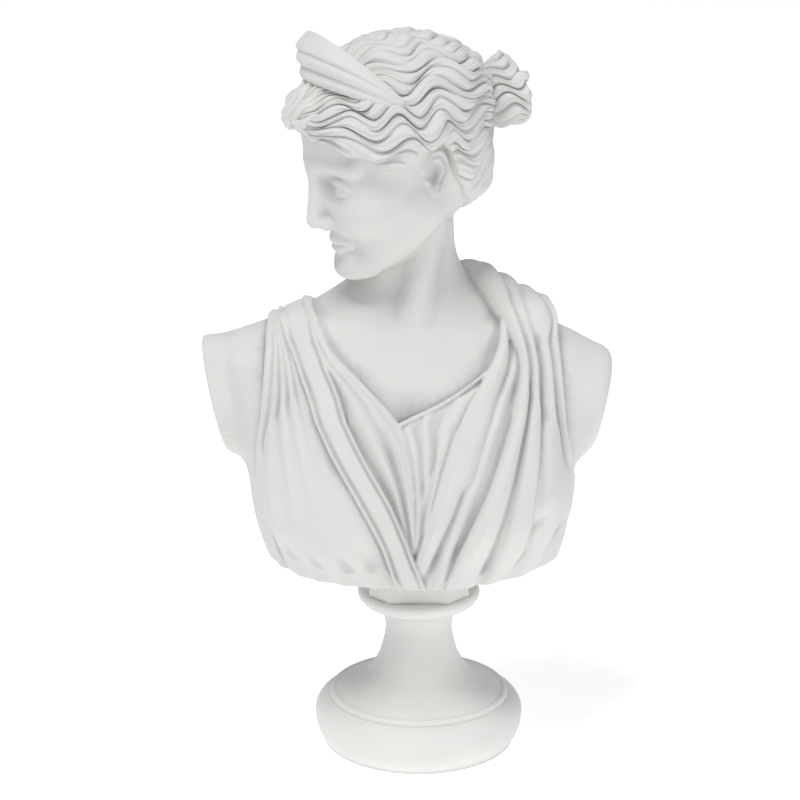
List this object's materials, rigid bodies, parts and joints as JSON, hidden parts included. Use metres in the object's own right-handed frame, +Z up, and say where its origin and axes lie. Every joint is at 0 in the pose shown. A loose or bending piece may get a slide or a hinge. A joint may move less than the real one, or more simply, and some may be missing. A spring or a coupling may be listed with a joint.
{
  "type": "draped bust statue",
  "caption": "Desk-size classical draped bust with a turned head, waved hair and a crescent diadem, cast in pale stone and standing on a turned round socle.",
  "frame": {"origin": "centre of the socle's flat underside, on the socle's turning axis", "axes": "+Z up along the socle's axis; the chest faces -Y; the head is turned towards -X, the figure's right shoulder"},
  "size_m": [0.1643, 0.0921, 0.3032],
  "materials": {
    "bust_marble": "matt off-white cast marble, unpolished",
    "socle_marble": "matt off-white cast marble, unpolished"
  },
  "bodies": {
    "root": {"bust": "bust_marble", "socle": "socle_marble"}
  },
  "joints": []
}
